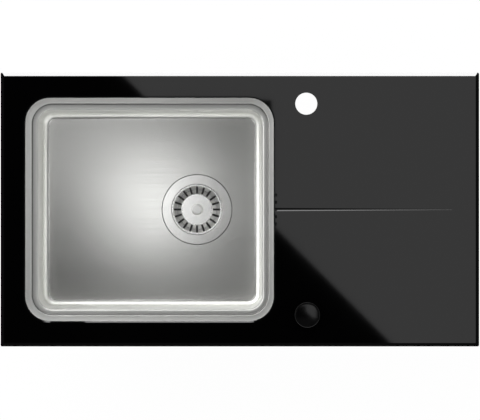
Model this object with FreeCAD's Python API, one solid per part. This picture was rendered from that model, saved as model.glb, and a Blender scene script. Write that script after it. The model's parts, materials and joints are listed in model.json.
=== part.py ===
import FreeCAD
import Part
import math
import os

V = FreeCAD.Vector
X_AXIS = V(1, 0, 0)
Y_AXIS = V(0, 1, 0)
Z_AXIS = V(0, 0, 1)
os.makedirs("parts", exist_ok=True)

# Kitchen sink with a glass top, in millimetres.
# The origin is the middle of the panel on the worktop's surface: X to the drainer, Y to the tap, Z up.

# Glass panel
panel_length = 760.0
panel_depth = 435.0
panel_corner = 2.5
glass_thickness = 8.0
bevel_width = 5.5
bevel_drop = 2.0
bevel_corner = 0.6
tap_hole_r = 17.5
tap_offset = 49.5
tap_margin = 49.5
hole_arris = 0.6

# Bowl opening in the glass
opening_length = 399.0
opening_margin = 38.0
opening_margin_left = 37.0
opening_corner = 41.5
arris_width = 2.2
arris_drop = 1.6

# Drain groove and the notches beside its mouth
groove_margin = 43.5
groove_width = 5.2
groove_depth = 1.8
groove_end_share = 0.15
notch_count = 5
notch_pitch = 11.5
notch_r = 2.3
notch_length = 5.0

# Foam seal under the panel's edge, and the bead that bonds the bowl
seal_thickness = 2.0
seal_width = 7.0
seal_inset = 2.5
bead_thickness = 1.0
bead_width = 6.0
bead_gap = 2.0

# Pressed bowl: a dished ledge, a small step, a second ledge, a drafted wall and a flat floor
sheet = 1.0
bowl_shift = 1.0
flange_reach = 10.0
ledge_width = 10.7
ledge_dip = 8.0
ledge_dip_run = 5.1
ledge_bend_r = 2.0
ledge_dish_r = 60.0
step_run = 2.2
step_drop = 2.2
step_top_r = 1.6
step_foot_r = 1.2
shelf_dip = 3.5
wall_inset = 21.3
wall_top_r = 3.5
wall_draft = 0.3
bowl_depth = 166.0
floor_r = 11.0
floor_margin = 3.0
bowl_corner = 44.0

# Waste: flange, cup and plastic body under the bowl's floor
waste_margin = 125.5
flange_r = 56.5
flange_sheet = 1.0
flange_gap = 0.8
flange_edge_r = 0.5
flange_gasket_thickness = 1.0
flange_gasket_width = 7.0
cup_r = 41.1
cup_lip_r = 0.8
cup_depth = 26.0
bowl_hole_r = 45.0
cup_hole_count = 8
cup_hole_r = 4.2
cup_hole_circle_r = 14.0
body_gasket_thickness = 3.0
body_flange_r = 58.0
body_flange_thickness = 4.0
body_wall = 3.0
body_clearance = 0.9
body_cone_height = 17.0
body_skirt = 11.0
outlet_r = 23.9
outlet_wall = 4.0
outlet_length = 30.0
gusset_count = 8
gusset_height = 12.0
gusset_thickness = 2.5
gusset_margin = 3.0
spider_count = 4
spider_rib = 4.0
spider_boss_r = 10.0
spider_height = 16.0
spider_top_gap = 14.0

# Clamp screw and the lift pin that slides in it
screw_r = 6.0
screw_clearance = 0.1
screw_head_r = 8.5
screw_head_height = 3.0
screw_tail = 2.0
pin_r = 2.95
pin_clearance = 0.05
pin_foot_r = 5.0
pin_foot_height = 3.0
pin_stand = 4.7
rest_gap = 0.3

# Strainer basket
basket_gap = 0.6
basket_sheet = 1.0
basket_drop = 0.5
basket_rim = 2.5
basket_bend_r = 1.5
basket_plate_r = 25.2
basket_plate_drop = 0.8
trough_depth = 10.0
trough_outer_run = 4.5
trough_inner_run = 6.0
trough_r = 1.8
slot_count = 20
slot_width = 3.2
slot_margin = 0.6
seal_ring_width = 6.0
seal_ring_height = 3.7
seal_plate_r = 26.0
seal_plate_thickness = 2.0
stem_r = 5.0
stem_hollow = 1.5
stud_r = 2.5
stud_clearance = 0.1
handle_r = 9.0
handle_neck_r = 5.0
handle_height = 10.0
handle_cap_height = 5.0

# Lever that lifts the pin
finger_length = 20.0
finger_r = 2.0
finger_width = 6.0
lever_swing = 24.0
shaft_r = 3.0
shaft_clearance = 0.05
gland_r = 7.0
gland_length = 16.0
ring_r = 1.1
crank_length = 25.0
crank_thickness = 4.0
crank_end_r = 5.0
crank_gap = 2.0

# Control cable
sheath_r = 2.5
sheath_bore_r = 1.2
sheath_clearance = 0.05
wire_r = 0.8
nipple_r = 2.0
nipple_clearance = 0.6
wire_offset = 2.5
wire_tail = 3.0
ferrule_r = 4.0
ferrule_length = 16.0
ferrule_seat = 8.0
ferrule_offset = 33.0
lug_length = 12.0
lug_size = 14.0
lug_arm = 8.0
cable_gap = 9.0
cable_bend_r = 42.0
clip_levels = (-100.0, -145.0)
clip_width = 10.0
clip_height = 8.0
clip_wall = 2.0

# Control knob and its drive
knob_offset = 51.0
knob_margin = 50.5
knob_r = 20.0
knob_height = 19.5
knob_edge_r = 5.0
knob_wall = 1.6
knob_gap = 0.5
knob_hub_r = 8.0
knob_skirt = 7.0
knob_hole_r = 14.0
knob_turn = 90.0
neck_r = 13.5
neck_rise = 5.0
nut_r = 17.5
nut_height = 4.0
nut_notch = 3.0
nut_notch_depth = 2.0
washer_thickness = 1.0
washer_r = 17.0
housing_flange_r = 21.0
housing_flange_height = 3.0
housing_r = 17.0
housing_wall = 3.0
housing_height = 33.0
housing_roof = 7.0
spindle_r = 4.95
spindle_clearance = 0.05
journal_r = 3.0
journal_clearance = 0.05
spindle_grip = 9.0
spool_flange_r = 9.0
spool_height = 12.0
spool_groove = 4.0
spool_gap = 4.0
cover_thickness = 3.0
cover_spigot = 2.0
cover_clearance = 0.3
cover_screw_r = 1.5
cover_screw_head_r = 2.8
cover_screw_head_height = 1.8
cover_screw_length = 10.0
cover_screw_slot = 0.8
socket_r = 5.0
socket_length = 10.0

# Overflow in a pocket of the back wall
overflow_z = -52.0
pocket_gap = 0.5
overflow_slot_length = 46.0
overflow_slot_height = 14.0
overflow_slot_corner = 6.0
cover_length = 58.0
cover_height = 24.0
cover_plate = 1.2
cover_corner = 5.0
cover_slot_width = 5.0
cover_slot_height = 11.0
cover_slot_pitch = 9.0
overflow_gasket_thickness = 2.0
head_length = 58.0
head_height = 26.0
head_depth = 30.0
head_wall = 2.0
head_rim = 4.0
head_socket_y = 15.0
pipe_r = 10.0
pipe_wall = 2.0
pipe_clearance = 0.2
pipe_socket_r = 13.0
pipe_socket_depth = 20.0
pipe_stop = 1.0
pipe_bend_r = 40.0
pipe_drop = 32.0
pipe_nut_r = 16.5
pipe_nut_height = 12.0
pipe_nut_lip = 3.0
pipe_nut_clearance = 0.15
pipe_nut_grips = 16
pipe_nut_grip_r = 2.0
pipe_nut_grip_depth = 0.9
overflow_screw_r = 2.0
overflow_screw_head_r = 3.6
overflow_screw_head_height = 1.4
overflow_screw_length = 16.0
overflow_screw_slot = 1.0
overflow_boss_r = 4.5

# Sound pads
pad_thickness = 2.5
floor_pad_margin = 5.0
floor_pad_hole_r = 62.0
wall_pad_length = 110.0
wall_pad_height = 80.0
wall_pad_z = -85.0
right_pad_y = 45.0

# Worktop clips under the glass
holder_inset = 12.0
holder_depth = 14.0
holder_width = 20.0
holder_height = 36.0
holder_sheet = 2.0
clip_screw_r = 2.5
clip_screw_clearance = 0.1
clip_screw_head_r = 4.5
clip_screw_head_height = 4.0
clip_screw_top = 8.0
claw_clearance = 0.05
claw_gap = 0.3
claw_thickness = 3.0
claw_width = 11.0
claw_reach = 30.0
claw_toe = 4.0
claw_toe_height = 8.0
claw_teeth = 3
claw_tooth_height = 2.0
clip_margin_right = 130.0
clip_margin_left = 150.0

# Places on the panel, all from its edges and the bowl's opening
opening_width = panel_depth - 2 * opening_margin
opening_x = opening_margin_left + opening_length / 2 - panel_length / 2
opening_right = opening_x + opening_length / 2
bowl_x = opening_x + bowl_shift
waste_x = opening_right - waste_margin
waste_offset = waste_x - bowl_x
groove_length = panel_length / 2 - groove_margin - opening_right
tap_x = opening_right + tap_offset
tap_y = panel_depth / 2 - tap_margin
knob_x = opening_right + knob_offset
knob_y = knob_margin - panel_depth / 2
cable_x = opening_right + bowl_shift - wall_inset + cable_gap
clip_x = panel_length / 2 - clip_margin_right
clip_x_left = panel_length / 2 - clip_margin_left

# Heights that several pieces share
glass_bottom = seal_thickness
glass_top_z = glass_bottom + glass_thickness
ledge_z = glass_bottom - bead_thickness
shelf_z = ledge_z - ledge_dip_run * math.tan(math.radians(ledge_dip))
step_z = shelf_z - step_drop
wall_top_z = step_z - (wall_inset - ledge_width - step_run) * math.tan(math.radians(shelf_dip))
floor_z = ledge_z - bowl_depth
draft_slope = math.tan(math.radians(wall_draft))
wall_foot_inset = wall_inset + (wall_top_z - floor_z) * draft_slope
floor_inset = wall_foot_inset + floor_r + floor_margin
recess_z = floor_z - flange_sheet - flange_gasket_thickness
recess_r = flange_r + flange_gap
body_top = recess_z - sheet - body_gasket_thickness
cup_floor = floor_z - cup_depth
pocket_depth = cover_plate + overflow_screw_head_height
half_swing = math.radians(lever_swing / 2)

# Heights inside the waste, from the cup's floor down to the outlet
spider_top = cup_floor - flange_sheet - spider_top_gap
spider_foot = spider_top - spider_height
pin_travel = 2 * finger_length * math.sin(half_swing)
wire_travel = 2 * crank_length * math.sin(half_swing)
spool_r = wire_travel / math.radians(knob_turn)
screw_foot = spider_foot - screw_tail
pin_foot_top = screw_foot - pin_travel - 2 * rest_gap
pin_foot = pin_foot_top - pin_foot_height
lever_z = pin_foot - rest_gap - finger_r + finger_length * math.sin(half_swing)
body_r = cup_r + flange_sheet + body_clearance + body_wall
body_bore_r = body_r - body_wall
cone_top = lever_z - body_skirt
outlet_top = cone_top - body_cone_height
outlet_foot = outlet_top - outlet_length
outlet_bore_r = outlet_r - outlet_wall

# Places that follow from the lever: its shaft, its crank and the cable
lever_x = waste_x + finger_length
gland_end = -math.sqrt(body_r ** 2 - finger_length ** 2) - gland_length
crank_y = gland_end - crank_gap - crank_thickness
cable_y = crank_y - wire_offset
cable_z = lever_z + crank_length * (1 + math.cos(half_swing)) / 2
ferrule_x = waste_x + ferrule_offset
sheath_x = ferrule_x + ferrule_seat
basket_top = floor_z - basket_drop
plate_top = basket_top - basket_plate_drop
plate_foot = plate_top - basket_sheet
trough_top = basket_top - trough_depth
trough_outer_r = cup_r - basket_gap - basket_rim
seal_top = cup_floor + rest_gap + seal_ring_height
pin_top = cup_floor + screw_head_height + pin_stand
stem_foot = pin_top + rest_gap

# Heights of the knob's drive
housing_foot = -housing_flange_height - housing_height
spool_top = -housing_flange_height - housing_roof - spool_gap
spool_z = spool_top - spool_height / 2


def rounded_outline(length, width, radius, z):
    """Closed outline of a rectangle with round corners, centred on the Z axis."""
    a, b = length / 2, width / 2
    diagonal = radius * (1 - math.sqrt(0.5))
    corners = [(1, 1), (-1, 1), (-1, -1), (1, -1)]
    edges = []
    for i, (sx, sy) in enumerate(corners):
        on_side = V(sx * a, sy * (b - radius), z)
        on_end = V(sx * (a - radius), sy * b, z)
        start, end = (on_side, on_end) if sx * sy > 0 else (on_end, on_side)
        edges.append(Part.Arc(start, V(sx * (a - diagonal), sy * (b - diagonal), z), end).toShape())
        tx, ty = corners[(i + 1) % 4]
        side = V(tx * a, ty * (b - radius), z)
        top = V(tx * (a - radius), ty * b, z)
        edges.append(Part.LineSegment(end, side if tx * ty > 0 else top).toShape())
    return Part.Wire(edges)


def slab(length, width, radius, z0, z1):
    """Upright block with round corners."""
    return Part.Face(rounded_outline(length, width, radius, z0)).extrude(V(0, 0, z1 - z0))


def frustum(low, high):
    """Block between two like outlines at different heights."""
    return Part.makeLoft([low, high], True, True)


def box(x0, x1, y0, y1, z0, z1):
    return Part.makeBox(x1 - x0, y1 - y0, z1 - z0, V(x0, y0, z0))


def rod(radius, z0, z1, x=0.0, y=0.0):
    return Part.makeCylinder(radius, z1 - z0, V(x, y, z0))


def hexagon(radius, z0, z1):
    """Six-sided prism about the Z axis, of that radius to its corners."""
    corners = [V(radius * math.cos(i * math.pi / 3), radius * math.sin(i * math.pi / 3), z0) for i in range(6)]
    return Part.Face(Part.makePolygon(corners + corners[:1])).extrude(V(0, 0, z1 - z0))


def tube(outer, inner, z0, z1, x=0.0, y=0.0):
    return rod(outer, z0, z1, x, y).cut(rod(inner, z0, z1, x, y))


def bar(radius, start, end):
    """Cylinder from one point to another."""
    return Part.makeCylinder(radius, (end - start).Length, start, end - start)


def turned(points, x=0.0, y=0.0):
    """Solid of revolution about an upright axis, from (radius, height) points."""
    loop = [V(r, 0, z) for r, z in points]
    solid = Part.Face(Part.makePolygon(loop + loop[:1])).revolve(V(0, 0, 0), Z_AXIS, 360)
    return solid.translated(V(x, y, 0))


def chain_edges(points, radii):
    """Lines through the points, with an arc of the given radius at each inner point."""
    edges = []
    start = points[0]
    for i in range(1, len(points) - 1):
        back = (points[i - 1] - points[i]).normalize()
        ahead = (points[i + 1] - points[i]).normalize()
        half = back.getAngle(ahead) / 2
        reach = radii[i - 1] / math.tan(half)
        middle = (back + ahead).normalize() * (radii[i - 1] / math.sin(half) - radii[i - 1])
        first, last = points[i] + back * reach, points[i] + ahead * reach
        edges.append(Part.LineSegment(start, first).toShape())
        edges.append(Part.Arc(first, points[i] + middle, last).toShape())
        start = last
    edges.append(Part.LineSegment(start, points[-1]).toShape())
    return edges


def swept_tube(points, radii, radius):
    """Round solid along straight runs and tangent arcs."""
    path = Part.Wire(chain_edges(points, radii))
    section = Part.Wire(Part.makeCircle(radius, points[0], points[1] - points[0]))
    return path.makePipeShell([section], True, False)


def ring_of(shape, count):
    """Copies of a shape spaced evenly about the Z axis."""
    return [shape.rotated(V(0, 0, 0), Z_AXIS, 360.0 * i / count) for i in range(count)]


def wall_distance(half_width, z):
    """Distance from the bowl's middle to the inside of a wall, at a height."""
    return half_width - wall_inset - (wall_top_z - z) * draft_slope


def on_wall(shape, half_width, turn, z, along=0.0):
    """Set a shape, drawn with the wall's inner face on the XZ plane and Y outwards, on a drafted wall."""
    leaned = shape.rotated(V(0, 0, 0), X_AXIS, -wall_draft)
    leaned.translate(V(along, wall_distance(half_width, z), z))
    return leaned.rotated(V(0, 0, 0), Z_AXIS, turn).translated(V(bowl_x, 0, 0))


def on_back_wall(shape):
    """Set a shape, drawn against the floor of the overflow's pocket, in its place on the back wall."""
    return on_wall(shape, opening_width / 2 + pocket_depth, 0, overflow_z, waste_offset)


def plate_on_wall(length, height, corner, y0, y1):
    """Plate with round corners that lies against the wall, drawn for on_wall."""
    plate = slab(length, height, corner, y0, y1)
    return plate.rotated(V(0, 0, 0), X_AXIS, -90)


def save(name, *solids):
    shape = solids[0] if len(solids) == 1 else Part.makeCompound(list(solids))
    shape.exportStep("parts/" + name + ".step")


def glass_panel():
    bevel_z = glass_top_z - bevel_drop
    panel = slab(panel_length, panel_depth, panel_corner, glass_bottom, bevel_z)
    flat_length, flat_depth = panel_length - 2 * bevel_width, panel_depth - 2 * bevel_width
    crown = frustum(
        rounded_outline(panel_length, panel_depth, panel_corner, bevel_z),
        rounded_outline(flat_length, flat_depth, bevel_corner, glass_top_z),
    )
    mouth_length, mouth_width = opening_length - 2 * arris_width, opening_width - 2 * arris_width
    mouth_corner = opening_corner - arris_width
    arris_z = glass_top_z - arris_drop
    mouth = slab(mouth_length, mouth_width, mouth_corner, glass_bottom, arris_z)
    flare = frustum(
        rounded_outline(mouth_length, mouth_width, mouth_corner, arris_z),
        rounded_outline(opening_length, opening_width, opening_corner, glass_top_z),
    )
    cuts = [shape.translated(V(opening_x, 0, 0)) for shape in (mouth, flare)]
    for x, y, radius in ((tap_x, tap_y, tap_hole_r), (knob_x, knob_y, knob_hole_r)):
        cuts.append(rod(radius, glass_bottom, glass_top_z, x, y))
        wide = radius + hole_arris
        cuts.append(Part.makeCone(radius, wide, hole_arris, V(x, y, glass_top_z - hole_arris)))
    return panel.fuse(crown).removeSplitter().cut(cuts + drain_cuts())


def drain_cuts():
    edge_x = opening_right
    half, deep = groove_width / 2, groove_depth

    def vee(x, share):
        points = [V(x, -half * share, glass_top_z), V(x, half * share, glass_top_z)]
        points.append(V(x, 0, glass_top_z - deep * share))
        return Part.makePolygon(points + points[:1])

    groove_mouth = vee(edge_x - arris_width, 1)
    groove_end = vee(edge_x + groove_length, groove_end_share)
    cuts = [Part.makeLoft([groove_mouth, groove_end], True, True)]
    for i in range(notch_count):
        y = (i - (notch_count - 1) / 2) * notch_pitch
        start = V(edge_x - arris_width, y, glass_top_z)
        cuts.append(bar(notch_r, start, start + X_AXIS * notch_length))
    return cuts


def worktop_seal():
    length, width = panel_length - 2 * seal_inset, panel_depth - 2 * seal_inset
    outer = slab(length, width, seal_width + panel_corner, 0, seal_thickness)
    return outer.cut(slab(length - 2 * seal_width, width - 2 * seal_width, panel_corner, 0, seal_thickness))


def bond_bead():
    grow = 2 * bead_gap
    inner_corner = bowl_corner + bead_gap
    outer_corner = inner_corner + bead_width
    inner = slab(opening_length + grow, opening_width + grow, inner_corner, ledge_z, glass_bottom)
    grow += 2 * bead_width
    outer = slab(opening_length + grow, opening_width + grow, outer_corner, ledge_z, glass_bottom)
    return outer.cut(inner).translated(V(bowl_x, 0, 0))


def sheet_face(points, radii, thickness):
    """Section of a bent sheet: its top line, run towards the axis, with round bends, and its underside."""
    runs = [(b - a).normalize() for a, b in zip(points, points[1:])]
    downs = [V(-run.z, 0, run.x) for run in runs]
    under = [points[0] + downs[0] * thickness]
    under_radii = []
    for i, radius in enumerate(radii):
        before, after = downs[i], downs[i + 1]
        under.append(points[i + 1] + (before + after) * (thickness / (1 + before.dot(after))))
        bends_down = before.dot(runs[i + 1]) > 0
        under_radii.append(radius - thickness if bends_down else radius + thickness)
    under.append(points[-1] + downs[-1] * thickness)
    edges = chain_edges(points, radii) + chain_edges(under, under_radii)
    edges += [Part.LineSegment(points[i], under[i]).toShape() for i in (0, -1)]
    return Part.Face(Part.Wire(Part.__sortEdges__(edges)))


def bowl_section():
    """Section of the sheet from the flange's edge to the floor, with X measured from a corner's axis."""
    line = [
        (-flange_reach, ledge_z),
        (0, ledge_z),
        (ledge_dip_run, shelf_z),
        (ledge_width, shelf_z),
        (ledge_width + step_run, step_z),
        (wall_inset, wall_top_z),
        (wall_foot_inset, floor_z),
        (floor_inset, floor_z),
    ]
    points = [V(bowl_corner - d, 0, z) for d, z in line]
    radii = (ledge_bend_r, ledge_dish_r, step_top_r, step_foot_r, wall_top_r, floor_r)
    return sheet_face(points, radii, sheet)


def bowl():
    section = bowl_section()
    half_x = opening_length / 2 - bowl_corner
    half_y = opening_width / 2 - bowl_corner
    pieces = []
    for i, (sx, sy) in enumerate([(1, 1), (-1, 1), (-1, -1), (1, -1)]):
        turned_section = section.rotated(V(0, 0, 0), Z_AXIS, 90 * i)
        axis = V(sx * half_x, sy * half_y, 0)
        pieces.append(turned_section.revolve(V(0, 0, 0), Z_AXIS, 90).translated(axis))
        run = V(0, -2 * half_y, 0) if i % 2 == 0 else V(2 * half_x, 0, 0)
        pieces.append(turned_section.extrude(run if i < 2 else run * -1).translated(axis))
    floor = slab(
        opening_length - 2 * floor_inset,
        opening_width - 2 * floor_inset,
        bowl_corner - floor_inset,
        floor_z - sheet,
        floor_z,
    )
    shell = pieces[0].multiFuse(pieces[1:] + [floor]).removeSplitter().translated(V(bowl_x, 0, 0))
    recess = turned(
        [
            (bowl_hole_r, recess_z),
            (recess_r, recess_z),
            (recess_r, floor_z),
            (recess_r + sheet, floor_z),
            (recess_r + sheet, recess_z - sheet),
            (bowl_hole_r, recess_z - sheet),
        ],
        waste_x,
    )
    shell = shell.cut(rod(recess_r + sheet, floor_z - sheet, floor_z, waste_x))
    shell = shell.multiFuse([recess, on_back_wall(pocket_plate(sheet, sheet))])
    slot = plate_on_wall(overflow_slot_length, overflow_slot_height, overflow_slot_corner, -sheet, 2 * sheet)
    return shell.cut([on_back_wall(pocket_plate(0, 0)), on_back_wall(slot)]).removeSplitter()


def pocket_plate(grow, back):
    """Block that fills the overflow's pocket, grown all round, from the wall's face to that far behind its floor."""
    length, height = cover_length + 2 * (pocket_gap + grow), cover_height + 2 * (pocket_gap + grow)
    return plate_on_wall(length, height, cover_corner + pocket_gap + grow, -pocket_depth, back)


def floor_pad():
    margin = floor_inset + floor_pad_margin
    length, width = opening_length - 2 * margin, opening_width - 2 * margin
    top = floor_z - sheet
    pad = slab(length, width, floor_pad_margin, top - pad_thickness, top).translated(V(bowl_x, 0, 0))
    return pad.cut(rod(floor_pad_hole_r, top - pad_thickness, top, waste_x))


def wall_pads():
    half = wall_pad_length / 2
    pad = box(-half, half, sheet, sheet + pad_thickness, -wall_pad_height / 2, wall_pad_height / 2)
    return [
        on_wall(pad, opening_length / 2, -90, wall_pad_z, -right_pad_y),
        on_wall(pad, opening_length / 2, 90, wall_pad_z),
        on_wall(pad, opening_width / 2, 180, wall_pad_z),
    ]


def waste_flange():
    rim = floor_z - flange_sheet
    lip_start = V(cup_r + cup_lip_r, 0, floor_z)
    lip_end = V(cup_r, 0, floor_z - cup_lip_r)
    lip_bend = cup_lip_r * (1 - math.sqrt(0.5))
    corners = [
        lip_end,
        V(cup_r, 0, cup_floor),
        V(screw_r + screw_clearance, 0, cup_floor),
        V(screw_r + screw_clearance, 0, cup_floor - flange_sheet),
        V(cup_r + flange_sheet, 0, cup_floor - flange_sheet),
        V(cup_r + flange_sheet, 0, rim),
        V(flange_r, 0, rim),
        V(flange_r, 0, floor_z - flange_edge_r),
        V(flange_r - flange_edge_r, 0, floor_z),
        lip_start,
    ]
    edges = [Part.LineSegment(a, b).toShape() for a, b in zip(corners, corners[1:])]
    edges.append(Part.Arc(lip_start, V(cup_r + lip_bend, 0, floor_z - lip_bend), lip_end).toShape())
    cup = Part.Face(Part.Wire(edges)).revolve(V(0, 0, 0), Z_AXIS, 360)
    hole = rod(cup_hole_r, cup_floor - flange_sheet, cup_floor, cup_hole_circle_r)
    return cup.cut(ring_of(hole, cup_hole_count)).translated(V(waste_x, 0, 0))


def waste_body():
    flange_foot = body_top - body_flange_thickness
    shell = turned(
        [
            (body_bore_r, body_top),
            (body_flange_r, body_top),
            (body_flange_r, flange_foot),
            (body_r, flange_foot),
            (body_r, cone_top),
            (outlet_r, outlet_top),
            (outlet_bore_r, outlet_top),
            (body_bore_r, cone_top),
        ]
    )
    rib = box(0, body_bore_r + body_wall / 2, -spider_rib / 2, spider_rib / 2, spider_foot, spider_top)
    gland = bar(gland_r, V(finger_length, -body_bore_r / 2, lever_z), V(finger_length, gland_end, lever_z))
    arm_back = -body_bore_r + body_wall
    socket_end = body_r + pipe_socket_depth + pipe_stop
    ferrule_mid = ferrule_offset + ferrule_length / 2
    lug_end = ferrule_mid + lug_length / 2
    arm_z = cable_z - lug_arm / 2
    lug_z = cable_z - lug_size / 2
    on_pipe = V(0, 0, pipe_level())
    socket = bar(pipe_socket_r, on_pipe + Y_AXIS * (body_bore_r / 2), on_pipe + Y_AXIS * socket_end)
    arm = box(finger_length, lug_end, gland_end + crank_gap, arm_back, arm_z, arm_z + lug_arm)
    lug_front, lug_back = cable_y - lug_size / 2, gland_end + 2 * crank_gap
    lug = box(lug_end - lug_length, lug_end, lug_front, lug_back, lug_z, lug_z + lug_size)
    hollow = rod(body_bore_r, outlet_top, body_top)
    outside = [piece.cut(hollow) for piece in (gland, socket, arm, lug)]
    outside += body_gussets(flange_foot)
    inside = ring_of(rib.fuse(rod(spider_boss_r, spider_foot, spider_top)), spider_count)
    body = shell.multiFuse(inside + outside).removeSplitter()
    shaft_bore = shaft_r + shaft_clearance
    groove_r = shaft_bore + 2 * ring_r
    on_shaft = V(finger_length, 0, lever_z)
    on_cable = V(0, cable_y, cable_z)
    seat_y = gland_end + gland_length / 2
    cuts = [
        rod(screw_r + screw_clearance, spider_foot, spider_top),
        bar(shaft_bore, on_shaft, on_shaft + Y_AXIS * gland_end),
        bar(groove_r, on_shaft + Y_AXIS * (seat_y + ring_r), on_shaft + Y_AXIS * (seat_y - ring_r)),
        bar(pipe_r + pipe_clearance, on_pipe + Y_AXIS * (body_r + pipe_stop), on_pipe + Y_AXIS * socket_end),
        bar(pipe_r - pipe_wall, on_pipe, on_pipe + Y_AXIS * socket_end),
        bar(ferrule_r + sheath_clearance, on_cable + X_AXIS * ferrule_offset, on_cable + X_AXIS * lug_end),
    ]
    return body.cut(cuts).translated(V(waste_x, 0, 0))


def body_gussets(top):
    """Triangular ribs between the waste body and its flange."""
    inner, outer, half = body_r - body_wall / 2, body_flange_r - gusset_margin, gusset_thickness / 2
    corners = [V(inner, -half, top), V(outer, -half, top), V(inner, -half, top - gusset_height)]
    rib = Part.Face(Part.makePolygon(corners + corners[:1])).extrude(Y_AXIS * gusset_thickness)
    rib.rotate(V(0, 0, 0), Z_AXIS, 180.0 / gusset_count)
    return ring_of(rib, gusset_count)


def outlet_tail():
    return tube(outlet_r, outlet_bore_r, outlet_foot, outlet_top, waste_x)


def pipe_level():
    """Height of the overflow pipe's run into the waste body."""
    return floor_z - pipe_drop


def clamp_screw():
    head_top = cup_floor + screw_head_height
    screw = rod(screw_head_r, cup_floor, head_top).fuse(rod(screw_r, screw_foot, cup_floor))
    return screw.cut(rod(pin_r + pin_clearance, screw_foot, head_top)).translated(V(waste_x, 0, 0))


def lift_pin():
    pin = rod(pin_r, pin_foot_top, pin_top).fuse(rod(pin_foot_r, pin_foot, pin_foot_top))
    return pin.translated(V(waste_x, 0, 0))


def at_lever(shape):
    """Lean a shape drawn about the Y axis to the lever's rest angle, and set it on the lever's axis."""
    return shape.rotated(V(0, 0, 0), Y_AXIS, -lever_swing / 2).translated(V(lever_x, 0, lever_z))


def lever_shaft():
    half = finger_width / 2
    shaft = bar(shaft_r, V(0, half, 0), V(0, crank_y, 0))
    hub = bar(shaft_r + finger_r / 2, V(0, half, 0), V(0, -half, 0))
    tip = bar(finger_r, V(-finger_length, half, 0), V(-finger_length, -half, 0))
    web = box(-finger_length, 0, -half, half, -finger_r, 0)
    return at_lever(shaft.multiFuse([hub, tip, web]).removeSplitter())


def crank_arm():
    front, back = crank_y, crank_y + crank_thickness
    hub = bar(2 * shaft_r, V(0, back, 0), V(0, front, 0))
    eye = bar(crank_end_r, V(0, back, crank_length), V(0, front, crank_length))
    web = box(-crank_end_r, crank_end_r, front, back, 0, crank_length)
    arm = hub.multiFuse([eye, web]).removeSplitter()
    shaft = bar(shaft_r, V(0, back, 0), V(0, front, 0))
    hole = bar(nipple_r + nipple_clearance, V(0, back, crank_length), V(0, front, crank_length))
    return at_lever(arm.cut([shaft, hole]))


def shaft_ring():
    ring = Part.makeTorus(shaft_r + shaft_clearance + ring_r, ring_r, V(0, 0, 0), Y_AXIS)
    return ring.translated(V(lever_x, gland_end + gland_length / 2, lever_z))


def cable_wire():
    start = V(lever_x - crank_length * math.sin(half_swing), cable_y, cable_z)
    wire = bar(wire_r, start, V(sheath_x + wire_tail, cable_y, cable_z))
    nipple = bar(nipple_r, start - Y_AXIS * wire_offset / 2, V(start.x, crank_y + crank_thickness, cable_z))
    return wire.fuse(nipple)


def cable_ferrule():
    start = V(ferrule_x, cable_y, cable_z)
    end = start + X_AXIS * ferrule_length
    body = bar(ferrule_r, start, end)
    seat = bar(sheath_r + sheath_clearance, start + X_AXIS * ferrule_seat, end)
    return body.cut([seat, bar(sheath_bore_r, start, end)])


def drive_aim():
    """Unit vector from the knob's axis along the cable, and the point where the cable leaves the spool."""
    away = V(cable_x - knob_x, cable_y - knob_y, 0)
    turn = math.degrees(math.asin(spool_r / away.Length))
    axis = V(knob_x, knob_y, spool_z)
    along = FreeCAD.Rotation(Z_AXIS, -turn).multVec(away.normalize())
    side = FreeCAD.Rotation(Z_AXIS, 90).multVec(along)
    return along, axis + side * spool_r


def cable_sheath():
    along, leaves = drive_aim()
    points = [
        V(sheath_x, cable_y, cable_z),
        V(cable_x, cable_y, cable_z),
        V(cable_x, cable_y, spool_z),
        leaves + along * (housing_r - housing_wall),
    ]
    radii = (cable_bend_r, cable_bend_r)
    return swept_tube(points, radii, sheath_r).cut(swept_tube(points, radii, sheath_bore_r))


def cable_clips():
    clips = []
    half = clip_width / 2
    for level in clip_levels:
        reach = bowl_x + wall_distance(opening_length / 2, level)
        depth = cable_x - reach + sheath_r + clip_wall
        block = box(-half, half, sheet, depth, -clip_height / 2, clip_height / 2)
        clip = on_wall(block, opening_length / 2, -90, level, -cable_y)
        hole = rod(sheath_r + sheath_clearance, level - clip_height, level + clip_height, cable_x, cable_y)
        clips.append(clip.cut(hole))
    return clips


def basket_cup():
    line = [
        (cup_r - basket_gap, basket_top),
        (trough_outer_r, basket_top),
        (trough_outer_r - trough_outer_run, trough_top),
        (basket_plate_r + trough_inner_run, trough_top),
        (basket_plate_r, plate_top),
        (stud_r + stud_clearance, plate_top),
    ]
    points = [V(r, 0, z) for r, z in line]
    section = sheet_face(points, (basket_bend_r, trough_r, trough_r, basket_bend_r), basket_sheet)
    cup = section.revolve(V(0, 0, 0), Z_AXIS, 360)
    inner, outer, half = basket_plate_r + slot_margin, trough_outer_r - slot_margin, slot_width / 2
    slot = box(inner, outer, -half, half, trough_top - 2 * basket_sheet, basket_top)
    slot.rotate(V(0, 0, 0), Z_AXIS, 90)
    return cup.cut(ring_of(slot, slot_count)).translated(V(waste_x, 0, 0))


def basket_stem():
    """Stem with the plate that carries the seal, hollow over the clamp screw's head."""
    handle_core = plate_top + handle_height - handle_cap_height
    hollow_r = screw_head_r + stem_hollow
    hub_r = hollow_r + seal_plate_thickness
    plate = seal_top + seal_plate_thickness
    hub_top = stem_foot + seal_plate_thickness
    stem = turned(
        [
            (0, stem_foot),
            (hollow_r, stem_foot),
            (hollow_r, seal_top),
            (seal_plate_r, seal_top),
            (seal_plate_r, plate),
            (hub_r, plate),
            (hub_r, hub_top),
            (stem_r, hub_top),
            (stem_r, plate_foot),
            (stud_r, plate_foot),
            (stud_r, handle_core),
            (0, handle_core),
        ]
    )
    return stem.translated(V(waste_x, 0, 0))


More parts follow.
